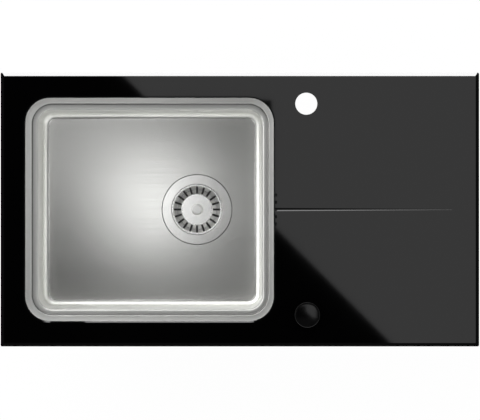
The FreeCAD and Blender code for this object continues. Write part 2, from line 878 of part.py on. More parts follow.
def basket_handle():
    cap_foot = plate_top + handle_height - handle_cap_height
    cap_mid = cap_foot + handle_cap_height / 2
    cap_top = cap_foot + handle_cap_height
    crown_r = handle_r - handle_cap_height / 2
    edge = handle_cap_height / 2 * math.sqrt(0.5)
    outline = [
        Part.LineSegment(V(0, 0, plate_top), V(handle_neck_r, 0, plate_top)),
        Part.LineSegment(V(handle_neck_r, 0, plate_top), V(handle_neck_r, 0, cap_foot)),
        Part.LineSegment(V(handle_neck_r, 0, cap_foot), V(crown_r, 0, cap_foot)),
        Part.Arc(V(crown_r, 0, cap_foot), V(crown_r + edge, 0, cap_mid - edge), V(handle_r, 0, cap_mid)),
        Part.Arc(V(handle_r, 0, cap_mid), V(crown_r + edge, 0, cap_mid + edge), V(crown_r, 0, cap_top)),
        Part.LineSegment(V(crown_r, 0, cap_top), V(0, 0, cap_top)),
        Part.LineSegment(V(0, 0, cap_top), V(0, 0, plate_top)),
    ]
    face = Part.Face(Part.Wire([line.toShape() for line in outline]))
    handle = face.revolve(V(0, 0, 0), Z_AXIS, 360)
    return handle.cut(rod(stud_r, plate_top, cap_foot)).translated(V(waste_x, 0, 0))


def basket_seal():
    return tube(seal_plate_r, seal_plate_r - seal_ring_width, seal_top - seal_ring_height, seal_top, waste_x)


def drive_housing():
    along, leaves = drive_aim()
    neck_top = glass_top_z + neck_rise
    neck = rod(neck_r, -housing_flange_height, neck_top, knob_x, knob_y)
    flange = rod(housing_flange_r, -housing_flange_height, 0, knob_x, knob_y)
    barrel = rod(housing_r, housing_foot, -housing_flange_height, knob_x, knob_y)
    outer_end = leaves + along * (housing_r + socket_length)
    body = neck.multiFuse([flange, barrel, bar(socket_r, leaves, outer_end)]).removeSplitter()
    cavity_top = -housing_flange_height - housing_roof
    screw_bore = cover_screw_r + screw_clearance
    screw_top = housing_foot - cover_thickness + cover_screw_length
    cuts = [
        rod(housing_r - housing_wall, housing_foot, cavity_top, knob_x, knob_y),
        rod(spindle_r + spindle_clearance, cavity_top, neck_top, knob_x, knob_y),
        bar(sheath_r + sheath_clearance, leaves, outer_end),
    ]
    cuts += [rod(screw_bore, housing_foot, screw_top, knob_x, y) for y in cover_screw_places()]
    return body.cut(cuts)


def cover_screw_places():
    middle = housing_r - housing_wall / 2
    return knob_y - middle, knob_y + middle


def housing_cover():
    foot = housing_foot - cover_thickness
    spigot_r = housing_r - housing_wall - cover_clearance
    spigot_top = housing_foot + cover_spigot
    disc = rod(housing_r, foot, housing_foot, knob_x, knob_y)
    spigot = rod(spigot_r, housing_foot, spigot_top, knob_x, knob_y)
    cuts = [rod(journal_r + journal_clearance, foot, spigot_top, knob_x, knob_y)]
    screw_bore = cover_screw_r + screw_clearance
    cuts += [rod(screw_bore, foot, housing_foot, knob_x, y) for y in cover_screw_places()]
    return disc.fuse(spigot).cut(cuts)


def cover_screws():
    foot = housing_foot - cover_thickness
    head_foot = foot - cover_screw_head_height
    screws = []
    for y in cover_screw_places():
        head = rod(cover_screw_head_r, head_foot, foot, knob_x, y)
        screw = head.fuse(rod(cover_screw_r, foot, foot + cover_screw_length, knob_x, y))
        half, reach = cover_screw_slot / 2, cover_screw_head_r
        slot = box(-reach, reach, -half, half, head_foot, head_foot + cover_screw_head_height / 2)
        screws.append(screw.cut(slot.translated(V(knob_x, y, 0))))
    return screws


def knob_nut():
    top = glass_top_z + washer_thickness
    nut = tube(nut_r, neck_r + screw_clearance, top, top + nut_height)
    notch = box(nut_r - nut_notch_depth, nut_r, -nut_notch / 2, nut_notch / 2, top, top + nut_height)
    return nut.cut(ring_of(notch, 4)).translated(V(knob_x, knob_y, 0))


def knob_cap():
    foot = glass_top_z + knob_gap
    top = foot + knob_height
    side = V(knob_r, 0, top - knob_edge_r)
    crown = V(0, 0, top)
    bend = knob_edge_r * (1 - math.sqrt(0.5))
    shoulder = V(knob_r - knob_edge_r, 0, top - knob_wall / 2)
    outline = [
        Part.LineSegment(crown, V(0, 0, foot)),
        Part.LineSegment(V(0, 0, foot), V(knob_r, 0, foot)),
        Part.LineSegment(V(knob_r, 0, foot), side),
        Part.Arc(side, V(knob_r - bend, 0, top - knob_wall / 2 - bend), shoulder),
        Part.LineSegment(shoulder, crown),
    ]
    solid = Part.Face(Part.Wire([line.toShape() for line in outline])).revolve(V(0, 0, 0), Z_AXIS, 360)
    inner_r = knob_r - knob_wall
    hollow = tube(inner_r, knob_hub_r, foot + knob_skirt, top - knob_edge_r)
    hollow = hollow.fuse(rod(inner_r, foot, foot + knob_skirt)).removeSplitter()
    grip = rod(spindle_r, foot, foot + knob_skirt + spindle_grip)
    return solid.cut([hollow, grip]).translated(V(knob_x, knob_y, 0))


def knob_spindle():
    top = glass_top_z + knob_gap + knob_skirt + spindle_grip
    journal_foot = housing_foot - cover_thickness
    spool_foot = spool_top - spool_height
    spindle = rod(spindle_r, spool_foot, top).fuse(rod(journal_r, journal_foot, spool_foot))
    return spindle.translated(V(knob_x, knob_y, 0))


def cable_spool():
    foot = spool_top - spool_height
    groove_foot = spool_z - spool_groove / 2
    groove_top = spool_z + spool_groove / 2
    return turned(
        [
            (spindle_r, foot),
            (spool_flange_r, foot),
            (spool_flange_r, groove_foot),
            (spool_r, groove_foot),
            (spool_r, groove_top),
            (spool_flange_r, groove_top),
            (spool_flange_r, spool_top),
            (spindle_r, spool_top),
        ],
        knob_x,
        knob_y,
    )


def overflow_cover():
    plate = plate_on_wall(cover_length, cover_height, cover_corner, -cover_plate, 0)
    half, tall = cover_slot_width / 2, cover_slot_height / 2
    cuts = [bar(overflow_screw_r + screw_clearance, V(0, -cover_plate, 0), V(0, 0, 0))]
    for place in (-2, -1, 1, 2):
        x = place * cover_slot_pitch
        cuts.append(box(x - half, x + half, -cover_plate, 0, -tall, tall))
    return on_back_wall(plate.cut(cuts))


def overflow_gasket():
    outer = plate_on_wall(head_length, head_height, cover_corner, sheet, sheet + overflow_gasket_thickness)
    inner_length, inner_height = head_length - 2 * head_rim, head_height - 2 * head_rim
    inner = plate_on_wall(inner_length, inner_height, head_rim, sheet, sheet + overflow_gasket_thickness)
    return on_back_wall(outer.cut(inner))


def head_socket_foot():
    return -head_height / 2 - pipe_socket_depth


def overflow_head():
    front = sheet + overflow_gasket_thickness
    back = front + head_depth
    shell = plate_on_wall(head_length, head_height, cover_corner, front, back)
    inner_length, inner_height = head_length - 2 * head_rim, head_height - 2 * head_rim
    chamber = plate_on_wall(inner_length, inner_height, head_rim, front, back - head_wall)
    boss = bar(overflow_boss_r, V(0, front, 0), V(0, back - head_wall, 0))
    socket_foot = head_socket_foot()
    stop = socket_foot + pipe_socket_depth - pipe_stop
    middle = front + head_socket_y
    body = shell.fuse(rod(pipe_socket_r, socket_foot, -head_height / 2, 0, middle))
    cuts = [
        rod(pipe_r + pipe_clearance, socket_foot, stop, 0, middle),
        rod(pipe_r - pipe_wall, stop, 0, 0, middle),
    ]
    body = body.cut([chamber] + cuts).fuse(boss).removeSplitter()
    screw_end = overflow_screw_length - cover_plate
    screw_bore = bar(overflow_screw_r + screw_clearance, V(0, front, 0), V(0, screw_end, 0))
    return on_back_wall(body.cut(screw_bore))


def overflow_screw():
    head_front = -cover_plate - overflow_screw_head_height
    head = bar(overflow_screw_head_r, V(0, head_front, 0), V(0, -cover_plate, 0))
    end = overflow_screw_length - cover_plate
    screw = head.fuse(bar(overflow_screw_r, V(0, -cover_plate, 0), V(0, end, 0)))
    half, reach = overflow_screw_slot / 2, overflow_screw_head_r
    slot_depth = overflow_screw_head_height / 2
    slot = box(-reach, reach, head_front, head_front + slot_depth, -half, half)
    return on_back_wall(screw.cut(slot))


def overflow_run():
    """Points of the overflow pipe: out of the head's socket, down, and across into the waste body."""
    middle = sheet + overflow_gasket_thickness + head_socket_y
    top = head_socket_foot() + pipe_socket_depth - pipe_stop
    ends = [Part.Vertex(0, middle, z) for z in (top, head_socket_foot())]
    start, mouth = [on_back_wall(end).Vertexes[0].Point for end in ends]
    fall = (mouth - start) * ((pipe_level() - start.z) / (mouth.z - start.z))
    return [start, start + fall, V(waste_x, body_r + pipe_stop, pipe_level())]


def overflow_pipe():
    points = overflow_run()
    radii = (pipe_bend_r,)
    return swept_tube(points, radii, pipe_r).cut(swept_tube(points, radii, pipe_r - pipe_wall))


def overflow_nuts():
    nut = tube(pipe_nut_r, pipe_socket_r + pipe_nut_clearance, 0, pipe_nut_height)
    nut = nut.fuse(tube(pipe_nut_r, pipe_r + pipe_clearance, -pipe_nut_lip, 0)).removeSplitter()
    grip_x = pipe_nut_r + pipe_nut_grip_r - pipe_nut_grip_depth
    grip = rod(pipe_nut_grip_r, 0, pipe_nut_height, grip_x)
    nut = nut.cut(ring_of(grip, pipe_nut_grips))
    middle = sheet + overflow_gasket_thickness + head_socket_y
    upper = on_back_wall(nut.translated(V(0, middle, head_socket_foot())))
    lower = nut.rotated(V(0, 0, 0), X_AXIS, 90)
    socket_end = body_r + pipe_socket_depth + pipe_stop
    return [upper, lower.translated(V(waste_x, socket_end, pipe_level()))]


def clip_places():
    """Name, turn and place along its edge of each worktop clip, and the distance of that edge."""
    long_edge, short_edge = panel_depth / 2, panel_length / 2
    return [
        ("back_left", 0, -clip_x_left, long_edge),
        ("back_right", 0, clip_x, long_edge),
        ("left", 90, 0, short_edge),
        ("front_right", 180, -clip_x, long_edge),
        ("front_left", 180, clip_x_left, long_edge),
        ("right", -90, 0, short_edge),
    ]


def clip_parts():
    """One holder, screw and claw, drawn with the panel's edge at Y 0 and the panel on the -Y side."""
    half = holder_width / 2
    front, back = -holder_inset, -holder_inset - holder_depth
    foot = glass_bottom - holder_height
    top_plate = box(-half, half, back, front, glass_bottom - holder_sheet, glass_bottom)
    web = box(-half, half, back, back + holder_sheet, foot, glass_bottom)
    foot_plate = box(-half, half, back, front, foot, foot + holder_sheet)
    axis_y = front - (holder_depth - holder_sheet) / 2
    hole = rod(clip_screw_r + clip_screw_clearance, foot, foot + holder_sheet, 0, axis_y)
    holder = top_plate.multiFuse([web, foot_plate]).removeSplitter().cut(hole)
    claw_top = foot - claw_gap
    claw_foot = claw_top - claw_thickness
    head_top = claw_foot - claw_gap
    head = hexagon(clip_screw_head_r, head_top - clip_screw_head_height, head_top).translated(V(0, axis_y, 0))
    screw = head.fuse(rod(clip_screw_r, head_top, glass_bottom - clip_screw_top, 0, axis_y))
    arm_half = claw_width / 2
    eye = rod(arm_half, claw_foot, claw_top)
    arm = box(0, claw_reach, -arm_half, arm_half, claw_foot, claw_top)
    toe_top = claw_top + claw_toe_height
    toe = box(claw_reach - claw_toe, claw_reach, -arm_half, arm_half, claw_foot, toe_top)
    pitch = claw_width / claw_teeth
    cuts = [rod(clip_screw_r + claw_clearance, claw_foot, claw_top)]
    for i in range(1, claw_teeth):
        gap = [V(0, -pitch / 2, toe_top), V(0, pitch / 2, toe_top), V(0, 0, toe_top - claw_tooth_height)]
        gap = Part.Face(Part.makePolygon(gap + gap[:1])).extrude(X_AXIS * claw_toe)
        cuts.append(gap.translated(V(claw_reach - claw_toe, i * pitch - arm_half, 0)))
    claw = eye.multiFuse([arm, toe]).removeSplitter().cut(cuts)
    return holder, screw, claw.translated(V(0, axis_y, 0))


def save_clips():
    holders, screws = [], []
    for name, turn, along, edge in clip_places():
        placed = [
            shape.translated(V(along, edge, 0)).rotated(V(0, 0, 0), Z_AXIS, turn) for shape in clip_parts()
        ]
        holders.append(placed[0])
        screws.append(placed[1])
        save("claw_" + name, placed[2])
    save("clip_holders", *holders)
    save("clip_screws", *screws)


# Panel, bowl and what holds them in the worktop
save("glass_top", glass_panel())
save("worktop_seal", worktop_seal())
save("bond_bead", bond_bead())
save("bowl", bowl())
save("floor_pad", floor_pad())
save("wall_pads", *wall_pads())
save_clips()

# Waste and basket
gasket_inner = flange_r - flange_gasket_width
save("waste_flange", waste_flange())
save("flange_gasket", tube(flange_r, gasket_inner, recess_z, recess_z + flange_gasket_thickness, waste_x))
save("body_gasket", tube(body_flange_r, bowl_hole_r, body_top, body_top + body_gasket_thickness, waste_x))
save("waste_body", waste_body())
save("outlet_tail", outlet_tail())
save("clamp_screw", clamp_screw())
save("lift_pin", lift_pin())
save("lever_shaft", lever_shaft())
save("crank_arm", crank_arm())
save("shaft_ring", shaft_ring())
save("basket_cup", basket_cup())
save("basket_stem", basket_stem())
save("basket_handle", basket_handle())
save("basket_seal", basket_seal())

# Control knob and its cable
save("knob_cap", knob_cap())
save("knob_spindle", knob_spindle())
save("cable_spool", cable_spool())
save("knob_nut", knob_nut())
washer_top = glass_top_z + washer_thickness
neck_bore = neck_r + screw_clearance
save("knob_washer", tube(washer_r, neck_bore, glass_top_z, washer_top, knob_x, knob_y))
save("housing_gasket", tube(housing_flange_r, neck_bore, 0, glass_bottom, knob_x, knob_y))
save("drive_housing", drive_housing())
save("housing_cover", housing_cover())
save("cover_screws", *cover_screws())
save("cable_sheath", cable_sheath())
save("cable_wire", cable_wire())
save("cable_ferrule", cable_ferrule())
save("cable_clips", *cable_clips())

# Overflow
save("overflow_cover", overflow_cover())
save("overflow_gasket", overflow_gasket())
save("overflow_head", overflow_head())
save("overflow_screw", overflow_screw())
save("overflow_pipe", overflow_pipe())
save("overflow_nuts", *overflow_nuts())
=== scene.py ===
import bmesh
import bpy
import json
import math
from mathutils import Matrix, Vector


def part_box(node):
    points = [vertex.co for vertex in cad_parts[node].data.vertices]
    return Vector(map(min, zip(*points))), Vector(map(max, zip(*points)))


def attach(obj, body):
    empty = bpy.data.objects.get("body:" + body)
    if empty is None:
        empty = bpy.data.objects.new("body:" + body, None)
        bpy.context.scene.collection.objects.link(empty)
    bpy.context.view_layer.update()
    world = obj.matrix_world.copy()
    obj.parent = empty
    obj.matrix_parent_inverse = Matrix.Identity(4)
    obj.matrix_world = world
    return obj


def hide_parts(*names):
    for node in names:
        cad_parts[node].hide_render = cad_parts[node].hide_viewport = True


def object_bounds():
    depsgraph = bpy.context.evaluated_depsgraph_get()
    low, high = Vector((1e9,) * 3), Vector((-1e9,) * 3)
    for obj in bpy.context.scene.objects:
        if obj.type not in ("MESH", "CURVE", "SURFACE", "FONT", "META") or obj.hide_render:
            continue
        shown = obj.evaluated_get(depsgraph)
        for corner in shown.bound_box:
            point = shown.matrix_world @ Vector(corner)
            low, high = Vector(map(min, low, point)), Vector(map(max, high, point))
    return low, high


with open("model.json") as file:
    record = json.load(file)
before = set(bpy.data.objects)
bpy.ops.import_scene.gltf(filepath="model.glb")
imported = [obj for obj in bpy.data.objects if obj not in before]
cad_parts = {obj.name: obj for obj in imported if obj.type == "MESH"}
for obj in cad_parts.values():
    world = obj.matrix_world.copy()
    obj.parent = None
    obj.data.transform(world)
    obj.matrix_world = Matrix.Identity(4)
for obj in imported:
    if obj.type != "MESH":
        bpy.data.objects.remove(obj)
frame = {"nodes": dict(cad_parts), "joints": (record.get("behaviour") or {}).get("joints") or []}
cad_box = [list(corner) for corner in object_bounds()]
scene = bpy.context.scene
scene.view_settings.view_transform = "Standard"


# Camera: straight above the panel and far off, so that the bowl's walls hardly show.
# Its frame is 480 by 420, and a little wider than the panel at the level of the glass.
panel_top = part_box("glass_top")[1].z
view_x, view_y = 0.00024, -0.0008
view_height = 8.0
view_width = 0.7622
camera = bpy.data.objects.new("camera", bpy.data.cameras.new("camera"))
camera.location = (view_x, view_y, panel_top + view_height)
camera.data.sensor_fit = "HORIZONTAL"
camera.data.lens = camera.data.sensor_width * view_height / view_width
camera.data.clip_end = 60.0
scene.collection.objects.link(camera)
scene.camera = camera


# Glass panel: 8 mm toughened glass, black from behind, with a ground and polished bevel all round.
# The bowl's opening, the tap hole, the drain groove and the notches are cut before it is toughened.
class Shade:
    """A shader socket: sums with it add Math nodes, and node() adds any other kind."""

    def __init__(self, tree, socket=None):
        self.tree = tree
        self.socket = socket

    def feed(self, socket, value):
        if isinstance(value, Shade):
            self.tree.links.new(value.socket, socket)
        else:
            socket.default_value = value

    def node(self, kind, settings=None, inputs=None, output=0):
        made = self.tree.nodes.new("ShaderNode" + kind)
        for name, value in (settings or {}).items():
            if name == "stops":
                for _ in value[2:]:
                    made.color_ramp.elements.new(1.0)
                for element, (place, colour) in zip(made.color_ramp.elements, value):
                    element.position = place
                    element.color = (*colour, 1.0)
            else:
                setattr(made, name, value)
        for name, value in (inputs or {}).items():
            self.feed(made.inputs[name], value)
        return Shade(self.tree, made.outputs[output])

    def sum(self, operation, *values):
        return self.node("Math", {"operation": operation}, dict(enumerate(values)))

    def __add__(self, other):
        return self.sum("ADD", self, other)

    def __sub__(self, other):
        return self.sum("SUBTRACT", self, other)

    def __rsub__(self, other):
        return self.sum("SUBTRACT", other, self)

    def __mul__(self, other):
        return self.sum("MULTIPLY", self, other)

    __radd__ = __add__
    __rmul__ = __mul__


def finish(name, **fixed):
    """A new material with fixed values on its shader, its shader's inputs and a Shade."""
    material = bpy.data.materials.new(name)
    material.use_nodes = True
    inputs = material.node_tree.nodes["Principled BSDF"].inputs
    for socket, value in fixed.items():
        inputs[socket].default_value = value
    return material, inputs, Shade(material.node_tree)


def grain(shade, scale, stretch=(1, 1, 1), detail=2.0):
    """Noise from 0 to 1 on the piece's own coordinates, in cells of 1 / scale metres."""
    place = shade.node("TexCoord", output="Object")
    place = shade.node("Mapping", {}, {"Vector": place, "Scale": stretch})
    return shade.node("TexNoise", {}, {"Vector": place, "Scale": scale, "Detail": detail})


def axis_of(shade, kind, axis):
    """One axis of a place on the piece (Object) or of the way that its surface faces (Normal)."""
    return shade.node("SeparateXYZ", {}, {0: shade.node("TexCoord", output=kind)}, axis)


def lean(shade):
    """0 where a surface lies level and 1 where it stands upright."""
    return 1 - shade.sum("ABSOLUTE", axis_of(shade, "Normal", 2))


def two_tone(shade, mask, first, second, blend="MIX"):
    """Colour that goes from the first to the second as the mask goes from 0 to 1."""
    first, second = [
        tone if isinstance(tone, Shade) else (*tone, 1.0) for tone in (first, second)]
    settings = {"data_type": "RGBA", "blend_type": blend}
    return shade.node("Mix", settings, {0: mask, 6: first, 7: second}, 2)


def relief(shade, height, depth):
    """Normal of a surface whose height goes from 0 to 1 over that depth, in metres."""
    settings = {"Strength": 1.0, "Distance": depth, "Height": height}
    return shade.node("Bump", {}, settings, "Normal")


def dress(material, *names):
    """Give CAD nodes a finish."""
    for name in names:
        for slot in frame["nodes"][name].material_slots:
            slot.material = material


glass_face, glass_edge = (0.0012, 0.0012, 0.0013), (0.003, 0.0055, 0.005)
black_glass, inputs, shade = finish("black_glass", IOR=1.5)
smear = grain(shade, 14.0, detail=4.0)
shade.feed(inputs["Base Color"], two_tone(shade, lean(shade), glass_face, glass_edge))
shade.feed(inputs["Roughness"], smear * 0.012 + 0.014)
dress(black_glass, "glass_top")


# Foam seal: a closed-cell strip stuck under the panel's edge, which lies on the worktop.
# Its cut cells show as fine pits.
foam_dark, foam_light = (0.045, 0.045, 0.047), (0.1, 0.1, 0.102)
cells_per_metre = 900.0
grey_foam, inputs, shade = finish("grey_foam", Roughness=0.9)
place = shade.node("TexCoord", output="Object")
cells = shade.node("TexVoronoi", {}, {"Vector": place, "Scale": cells_per_metre})
shade.feed(inputs["Base Color"], two_tone(shade, cells, foam_dark, foam_light))
shade.feed(inputs["Normal"], relief(shade, cells, 0.0004))
dress(grey_foam, "worktop_seal")


# Adhesive bead: black silicone that holds the bowl's flange under the glass.
# It is laid wet and pressed out a little, so its skin is rippled and half glossy.
bead_dark, bead_light = (0.008, 0.008, 0.008), (0.02, 0.02, 0.02)
black_adhesive, inputs, shade = finish("black_adhesive")
ripple = grain(shade, 160.0, detail=3.0)
shade.feed(inputs["Base Color"], two_tone(shade, ripple, bead_dark, bead_light))
shade.feed(inputs["Roughness"], ripple * 0.2 + 0.3)
shade.feed(inputs["Normal"], relief(shade, ripple, 0.0005))
dress(black_adhesive, "bond_bead")


# Bowl: pressed from 1 mm stainless sheet, bonded under the glass, and sunk round the waste.
# The floor keeps the sheet's satin grain, and pressing leaves the walls duller. The greys by height
# are painted light and shade: pale walls and bend, and a dark line of painted shade at the rim's
# step.
# The outside keeps its mill finish, and the bowl turns near-black just below the floor's level at
# the waste's joint.
flange_low, flange_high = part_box("waste_flange")
waste_x = (flange_low.x + flange_high.x) / 2
floor_level = flange_high.z
bowl_low, bowl_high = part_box("bowl")
bowl_mid = (bowl_low + bowl_high) / 2
rim_level = bowl_high.z
mill_tone = (0.42, 0.421, 0.412)
# Just below the floor's level, at the waste's joint, the bowl turns near-black and dull.
joint_dark_depth, joint_dark_tone = 0.0006, 0.02
painted_light_bands = [  # level, painted grey and roughness
    (floor_level + 0.00004, 0.46, 0.23),  # the floor
    (floor_level + 0.0008, 0.86, 0.5),  # the bend round the floor, pale as painted light
    (floor_level + 0.005, 0.88, 0.5),
    (floor_level + 0.011, 0.84, 0.7),  # the walls, pale as painted light
    (rim_level - 0.011, 0.84, 0.7),
    (rim_level - 0.0045, 0.5, 0.5),  # the lower ledge, darkened as painted shade
    (rim_level - 0.0031, 0.48, 0.5),
    (rim_level - 0.0027, 0.1, 0.5),  # the step, a dark line of painted shade
    (rim_level - 0.0009, 0.1, 0.5),
    (rim_level - 0.0006, 0.8, 0.45)]  # the upper ledge, pale as painted light


def rise(shade, value, start, end):
    """0 at the start and 1 at the end, and no more than that past them."""
    return shade.node("MapRange", {}, {0: value, 1: start, 2: end, 3: 0.0, 4: 1.0})


def sunk(shade, tone, dull, depth, dark):
    """Tone and roughness that turn dark and dull below the bowl's floor, over that depth."""
    height = axis_of(shade, "Object", 2)
    below = rise(shade, height, floor_level - depth / 2, floor_level - depth * 1.5)
    return two_tone(shade, below, tone, (dark, dark, dark)), dull + below * 0.3


def from_axis(shade, x, y):
    """How far a point is from an upright line, across and along."""
    place = shade.node("TexCoord", output="Object")
    level = {"Location": (-x, -y, 0.0), "Scale": (1.0, 1.0, 0.0)}
    return shade.node("Mapping", {}, {"Vector": place, **level})


satin_steel, inputs, shade = finish("satin_steel", Metallic=1.0)
share = rise(shade, axis_of(shade, "Object", 2), floor_level, rim_level)
places = [(level - floor_level) / (rim_level - floor_level) for level, _, _ in painted_light_bands]
painted_greys = [(grey, grey * 1.003, grey * 0.976) for _, grey, _ in painted_light_bands]
roughs = [(rough, rough, rough) for _, _, rough in painted_light_bands]
lines = grain(shade, 1.0, (6.0, 900.0, 900.0), 3.0)
cloud = grain(shade, 9.0)
mottle = two_tone(shade, cloud * 0.6 + lines * 0.4, (0.97, 0.97, 0.97), (1.03, 1.03, 1.03))
# The greys by height are painted light and shade, band by band.
tone = shade.node("ValToRGB", {"stops": list(zip(places, painted_greys))}, {0: share})
tone = two_tone(shade, 1.0, tone, mottle, "MULTIPLY")
dull = shade.node("ValToRGB", {"stops": list(zip(places, roughs))}, {0: share})
dull = dull + lines * 0.06 + cloud * 0.03 - 0.045
sides = {0: shade.node("TexCoord", output="Normal"), 1: from_axis(shade, bowl_mid.x, bowl_mid.y)}
away = shade.node("VectorMath", {"operation": "DOT_PRODUCT"}, sides, 1)
outside = rise(shade, away, 0.01, 0.06)
tone = two_tone(shade, outside, tone, mill_tone)
dull = dull - outside * 0.05
tone, dull = sunk(shade, tone, dull, joint_dark_depth, joint_dark_tone)
shade.feed(inputs["Base Color"], tone)
shade.feed(inputs["Roughness"], dull)
shade.feed(inputs["Normal"], relief(shade, lines, 0.000002))
dress(satin_steel, "bowl")


# Sound pads: bitumen sheet stuck under the floor and on three walls.
# It is rolled with a diamond pattern, and mineral dust greys its surface.
pad_dark, pad_light = (0.035, 0.034, 0.033), (0.11, 0.108, 0.104)
ridge_turn = 260.0  # radians a metre: a ridge every 12 mm
damping_pad, inputs, shade = finish("damping_pad")
x, y, z = [axis_of(shade, "Object", axis) for axis in range(3)]
waves = [shade.sum("SINE", way * ridge_turn) for way in (x + y + z, x - y)]
diamond = shade.sum("MINIMUM", *[shade.sum("ABSOLUTE", wave) for wave in waves])
diamond = shade.sum("SQRT", diamond)
dust = grain(shade, 220.0, detail=4.0)
shade.feed(inputs["Base Color"], two_tone(shade, dust * 0.7 + diamond * 0.3, pad_dark, pad_light))
shade.feed(inputs["Roughness"], dust * 0.25 + 0.55)
shade.feed(inputs["Normal"], relief(shade, diamond + dust * 0.15, 0.0006))
dress(damping_pad, "floor_pad", "wall_pads")


# Worktop clips: a bent steel holder bonded under the glass, a screw, and a toothed claw that swings
# out. All are zinc plated, with a faint cloud of blue and straw from the passivation.
zinc_blue, zinc_straw = (0.5, 0.53, 0.58), (0.64, 0.61, 0.53)


def plated(name, rough):
    """Zinc plate on steel, with clouds of its two tints and a fine crystal grain."""
    material, inputs, shade = finish(name, Metallic=1.0)
    cloud = grain(shade, 70.0, detail=4.0)
    speck = grain(shade, 900.0)
    shade.feed(inputs["Base Color"], two_tone(shade, cloud, zinc_blue, zinc_straw))
    shade.feed(inputs["Roughness"], cloud * 0.1 + speck * 0.1 + (rough - 0.1))
    shade.feed(inputs["Normal"], relief(shade, speck, 0.00001))
    return material


zinc_steel = plated("zinc_steel", 0.38)
claw_steel = plated("claw_steel", 0.34)
claws = [name for name in frame["nodes"] if name.startswith("claw_")]
dress(zinc_steel, "clip_holders")
dress(claw_steel, *claws)


# Clip screws: M5 bolts with hexagon heads, zinc plated, screwed up through the foot of each holder.
# Their threads are rolled; each carries a claw between its head and the holder.
screws_low, screws_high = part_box("clip_screws")
bolt_crest_r, bolt_root_r, bolt_pitch = 0.0025, 0.0021, 0.0008
bolt_head_r, bolt_head_height, bolt_head_bevel = 0.0045, 0.004, 0.0004
hair = 1e-6


def thread(bm, crest, root, pitch, foot, top, steps):
    """Wind a thread up the Z axis past both ends, cut it off there, and give its end edges."""
    outline = [(root, 0.0), (crest, 0.35), (crest, 0.5), (root, 0.85), (root, 1.0)]
    line = [bm.verts.new((radius, 0.0, foot + (share - 1) * pitch)) for radius, share in outline]
    edges = [bm.edges.new(pair) for pair in zip(line, line[1:])]
    turns = math.ceil((top - foot) / pitch) + 1
    wound = {"angle": 2 * math.pi * turns, "steps": steps * turns, "dvec": (0, 0, pitch / steps)}
    bmesh.ops.spin(bm, geom=line + edges, axis=(0, 0, 1), **wound)
    bmesh.ops.remove_doubles(bm, verts=bm.verts, dist=pitch / 100)
    for level, way in ((foot, -1), (top, 1)):
        whole = bm.verts[:] + bm.edges[:] + bm.faces[:]
        cut = {"plane_co": (0, 0, level), "plane_no": (0, 0, way)}
        bmesh.ops.bisect_plane(bm, geom=whole, clear_outer=True, **cut)
    bmesh.ops.recalc_face_normals(bm, faces=bm.faces)
    return [edge for edge in bm.edges if edge.is_boundary]


def edges_among(bm, verts):
    """The edges that join these vertices, in the mesh's own order."""
    verts = set(verts)
    return [edge for edge in bm.edges if verts.issuperset(edge.verts)]


def add_piece(name, bm, body, material):
    """Make a bmesh a piece that rides on a body, with a finish."""
    mesh = bpy.data.meshes.new(name)
    bm.to_mesh(mesh)
    bm.free()
    mesh.materials.append(material)
    piece = bpy.data.objects.new(name, mesh)
    scene.collection.objects.link(piece)
    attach(piece, body)
    return piece


bm = bmesh.new()
shank_foot = screws_low.z + bolt_head_height
ends = thread(bm, bolt_crest_r, bolt_root_r, bolt_pitch, shank_foot, screws_high.z, 20)
bmesh.ops.holes_fill(bm, edges=ends, sides=0)
hexagon = {"segments": 6, "radius1": bolt_head_r, "radius2": bolt_head_r}
head = bmesh.ops.create_cone(bm, cap_ends=True, depth=bolt_head_height, **hexagon)["verts"]
bmesh.ops.translate(bm, vec=(0, 0, screws_low.z + bolt_head_height / 2), verts=head)
rim = [edge for edge in edges_among(bm, head)
       if abs(edge.verts[0].co.z - edge.verts[1].co.z) < hair]
rounded = {"segments": 2, "profile": 0.5, "affect": "EDGES", "material": -1}
bmesh.ops.bevel(bm, geom=rim, offset=bolt_head_bevel, **rounded)
bolt = bpy.data.meshes.new("bolt")
bm.to_mesh(bolt)
bm.clear()
for joint in frame["joints"]:
    if joint["name"].startswith("claw_"):
        start = len(bm.verts)
        bm.from_mesh(bolt)
        bm.verts.ensure_lookup_table()
        bmesh.ops.translate(bm, vec=(*joint["pos_m"][:2], 0), verts=bm.verts[start:])
clip_bolts = add_piece("clip_bolts", bm, "sink", zinc_steel)
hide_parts("clip_screws")


# Waste flange: spun stainless sheet, sunk flush in the bowl's floor, with a cup for the basket.
# Fine rings from the spinning run round its axis, and the cup is left dull and painted dark, as
# painted shade under the basket. A rubber gasket lies under it.
cup_shade_depth, cup_painted_shade = 0.004, 0.11
rings_per_metre = 1400.0


def spun(name, colour, rough, cup=False, slope=0.0):
    """Steel turned about the waste's axis, in fine rings, and duller where it slopes. With cup, its
    part below the floor is painted dark, as painted shade.
    """
    material, inputs, shade = finish(name, Metallic=1.0)
    from_waste = from_axis(shade, waste_x, 0.0)
    radius = shade.node("VectorMath", {"operation": "LENGTH"}, {0: from_waste}, 1)
    turned = {"W": radius, "Scale": rings_per_metre, "Detail": 3.0}
    rings = shade.node("TexNoise", {"noise_dimensions": "1D"}, turned)
    cloud = grain(shade, 30.0)
    light = [min(1.0, c * 1.03) for c in colour]
    dark = [c * 0.97 for c in colour]
    tone = two_tone(shade, rings * 0.6 + cloud * 0.4, dark, light)
    dull = rings * 0.06 + cloud * 0.03 + (rough - 0.045)
    if slope:
        dull = dull + lean(shade) * slope
    # A cup's darkening below the floor is painted shade, standing for the shade under the basket.
    if cup:
        tone, dull = sunk(shade, tone, dull, cup_shade_depth, cup_painted_shade)
    shade.feed(inputs["Base Color"], tone)
    shade.feed(inputs["Roughness"], dull)
    shade.feed(inputs["Normal"], relief(shade, rings, 0.000002))
    return material


flange_steel = spun("flange_steel", (0.52, 0.52, 0.51), 0.23, cup=True)
dress(flange_steel, "waste_flange")


